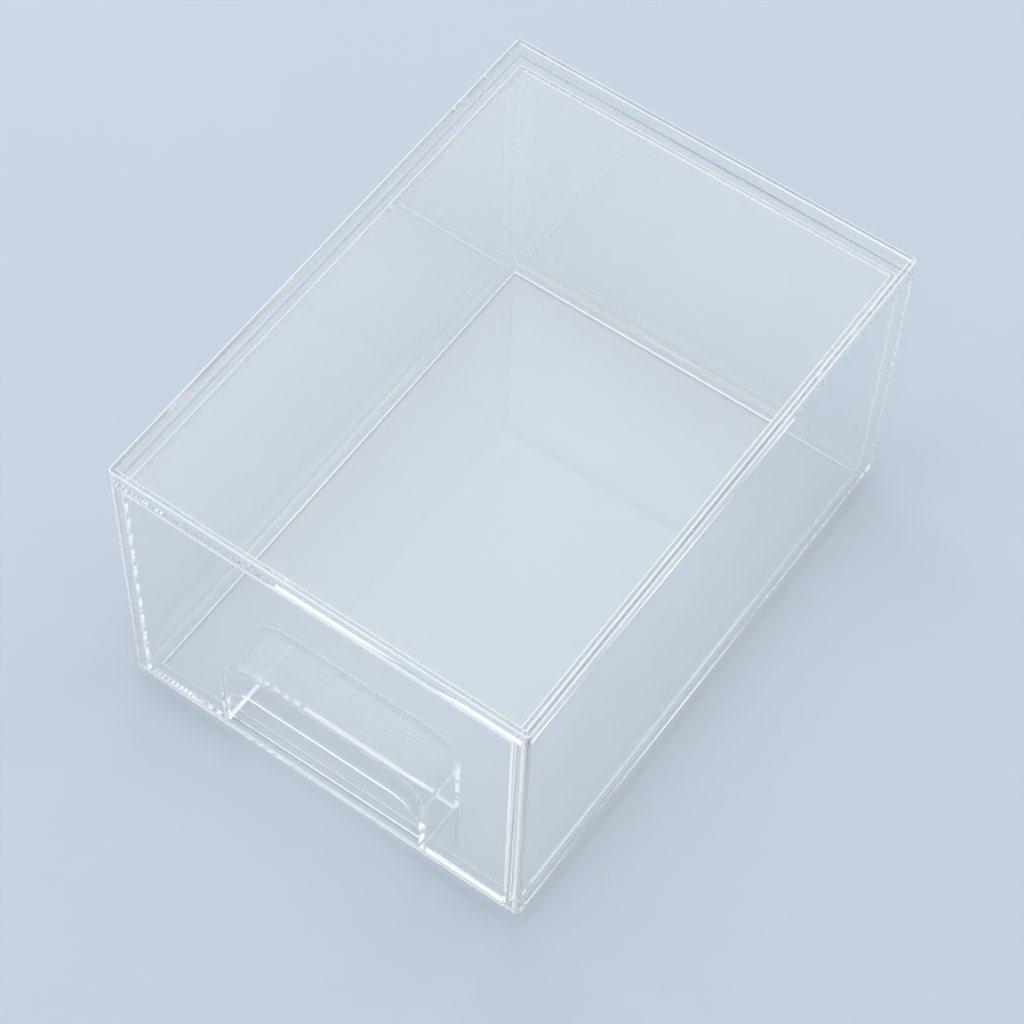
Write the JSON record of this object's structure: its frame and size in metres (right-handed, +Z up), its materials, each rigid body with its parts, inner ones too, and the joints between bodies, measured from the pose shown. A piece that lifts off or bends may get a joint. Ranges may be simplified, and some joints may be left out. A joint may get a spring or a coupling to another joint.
{
  "type": "stackable storage drawer",
  "caption": "Clear stackable storage box: an open-front case with a raised rim on top, and a drawer that slides out by a recessed finger pull at its foot.",
  "frame": {"origin": "under the middle of the case, on the surface that it stands on", "axes": "+Z up, +Y from the front to the back, +X to the right as seen from the front; the drawer opens along -Y"},
  "size_m": [0.167, 0.23, 0.128],
  "materials": {
    "clear_case": "water-clear plastic, polished, with bright edges",
    "clear_drawer": "water-clear plastic, polished, with bright edges"
  },
  "bodies": {
    "case": {"case_left_wall": "clear_case", "case_right_wall": "clear_case", "case_back_wall": "clear_case", "case_front_rail": "clear_case", "case_top_panel": "clear_case", "case_bottom_panel": "clear_case", "foot_strip_front": "clear_case", "foot_strip_back": "clear_case", "foot_strip_left": "clear_case", "foot_strip_right": "clear_case"},
    "drawer": {"drawer_front": "clear_drawer", "drawer_left_wall": "clear_drawer", "drawer_right_wall": "clear_drawer", "drawer_back_wall": "clear_drawer", "drawer_floor": "clear_drawer", "pull_arch": "clear_drawer", "pull_back": "clear_drawer"}
  },
  "joints": [
    {"name": "drawer_slide", "type": "slide", "parent": "case", "child": "drawer", "axis": [0, -1, 0], "range_m": [0, 0.18]}
  ]
}
